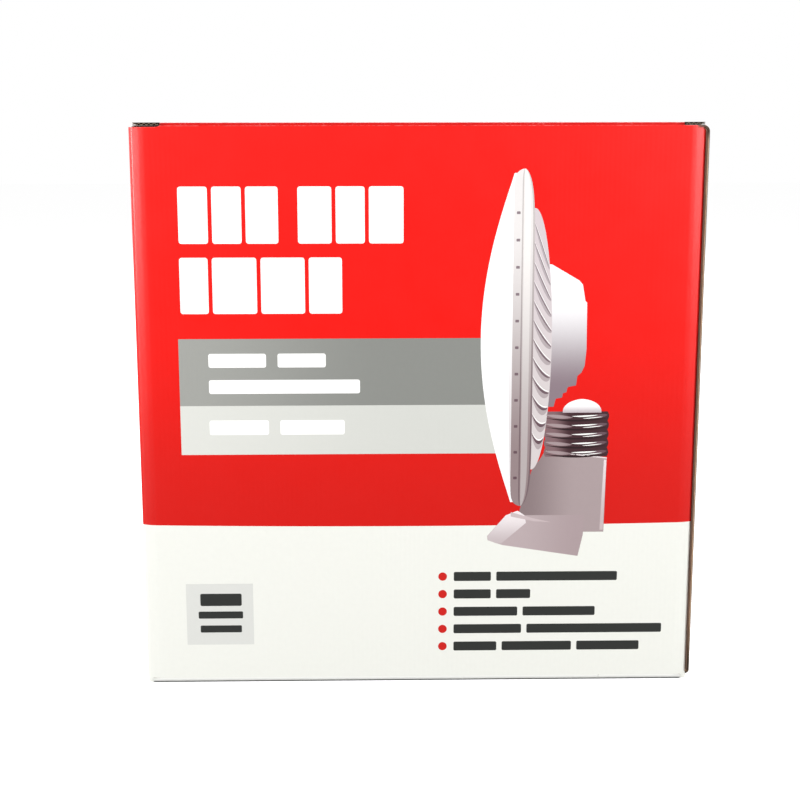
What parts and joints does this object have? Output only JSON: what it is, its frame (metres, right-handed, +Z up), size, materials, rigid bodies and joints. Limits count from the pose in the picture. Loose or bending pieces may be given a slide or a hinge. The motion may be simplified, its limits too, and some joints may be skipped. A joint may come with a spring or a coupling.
{
  "type": "corrugated retail carton",
  "caption": "Upright retail carton of printed corrugated board, glued at one corner, with a hinged tuck-in lid and a locked glued bottom.",
  "frame": {"origin": "middle of the footprint, on the floor", "axes": "+X to the right seen from the front, +Y from the front to the back, +Z up"},
  "size_m": [0.266, 0.096, 0.27],
  "materials": {
    "printed_board": "glossy coated print",
    "kraft_inside": "matt uncoated"
  },
  "bodies": {
    "box": {"carton": "printed_board"},
    "lid": {"lid": "printed_board"}
  },
  "joints": [
    {"name": "lid_hinge", "type": "hinge", "parent": "box", "child": "lid", "pos_m": [0, 0.0466, 0.2686], "axis": [-1, 0, 0], "range_deg": [0, 180]}
  ]
}
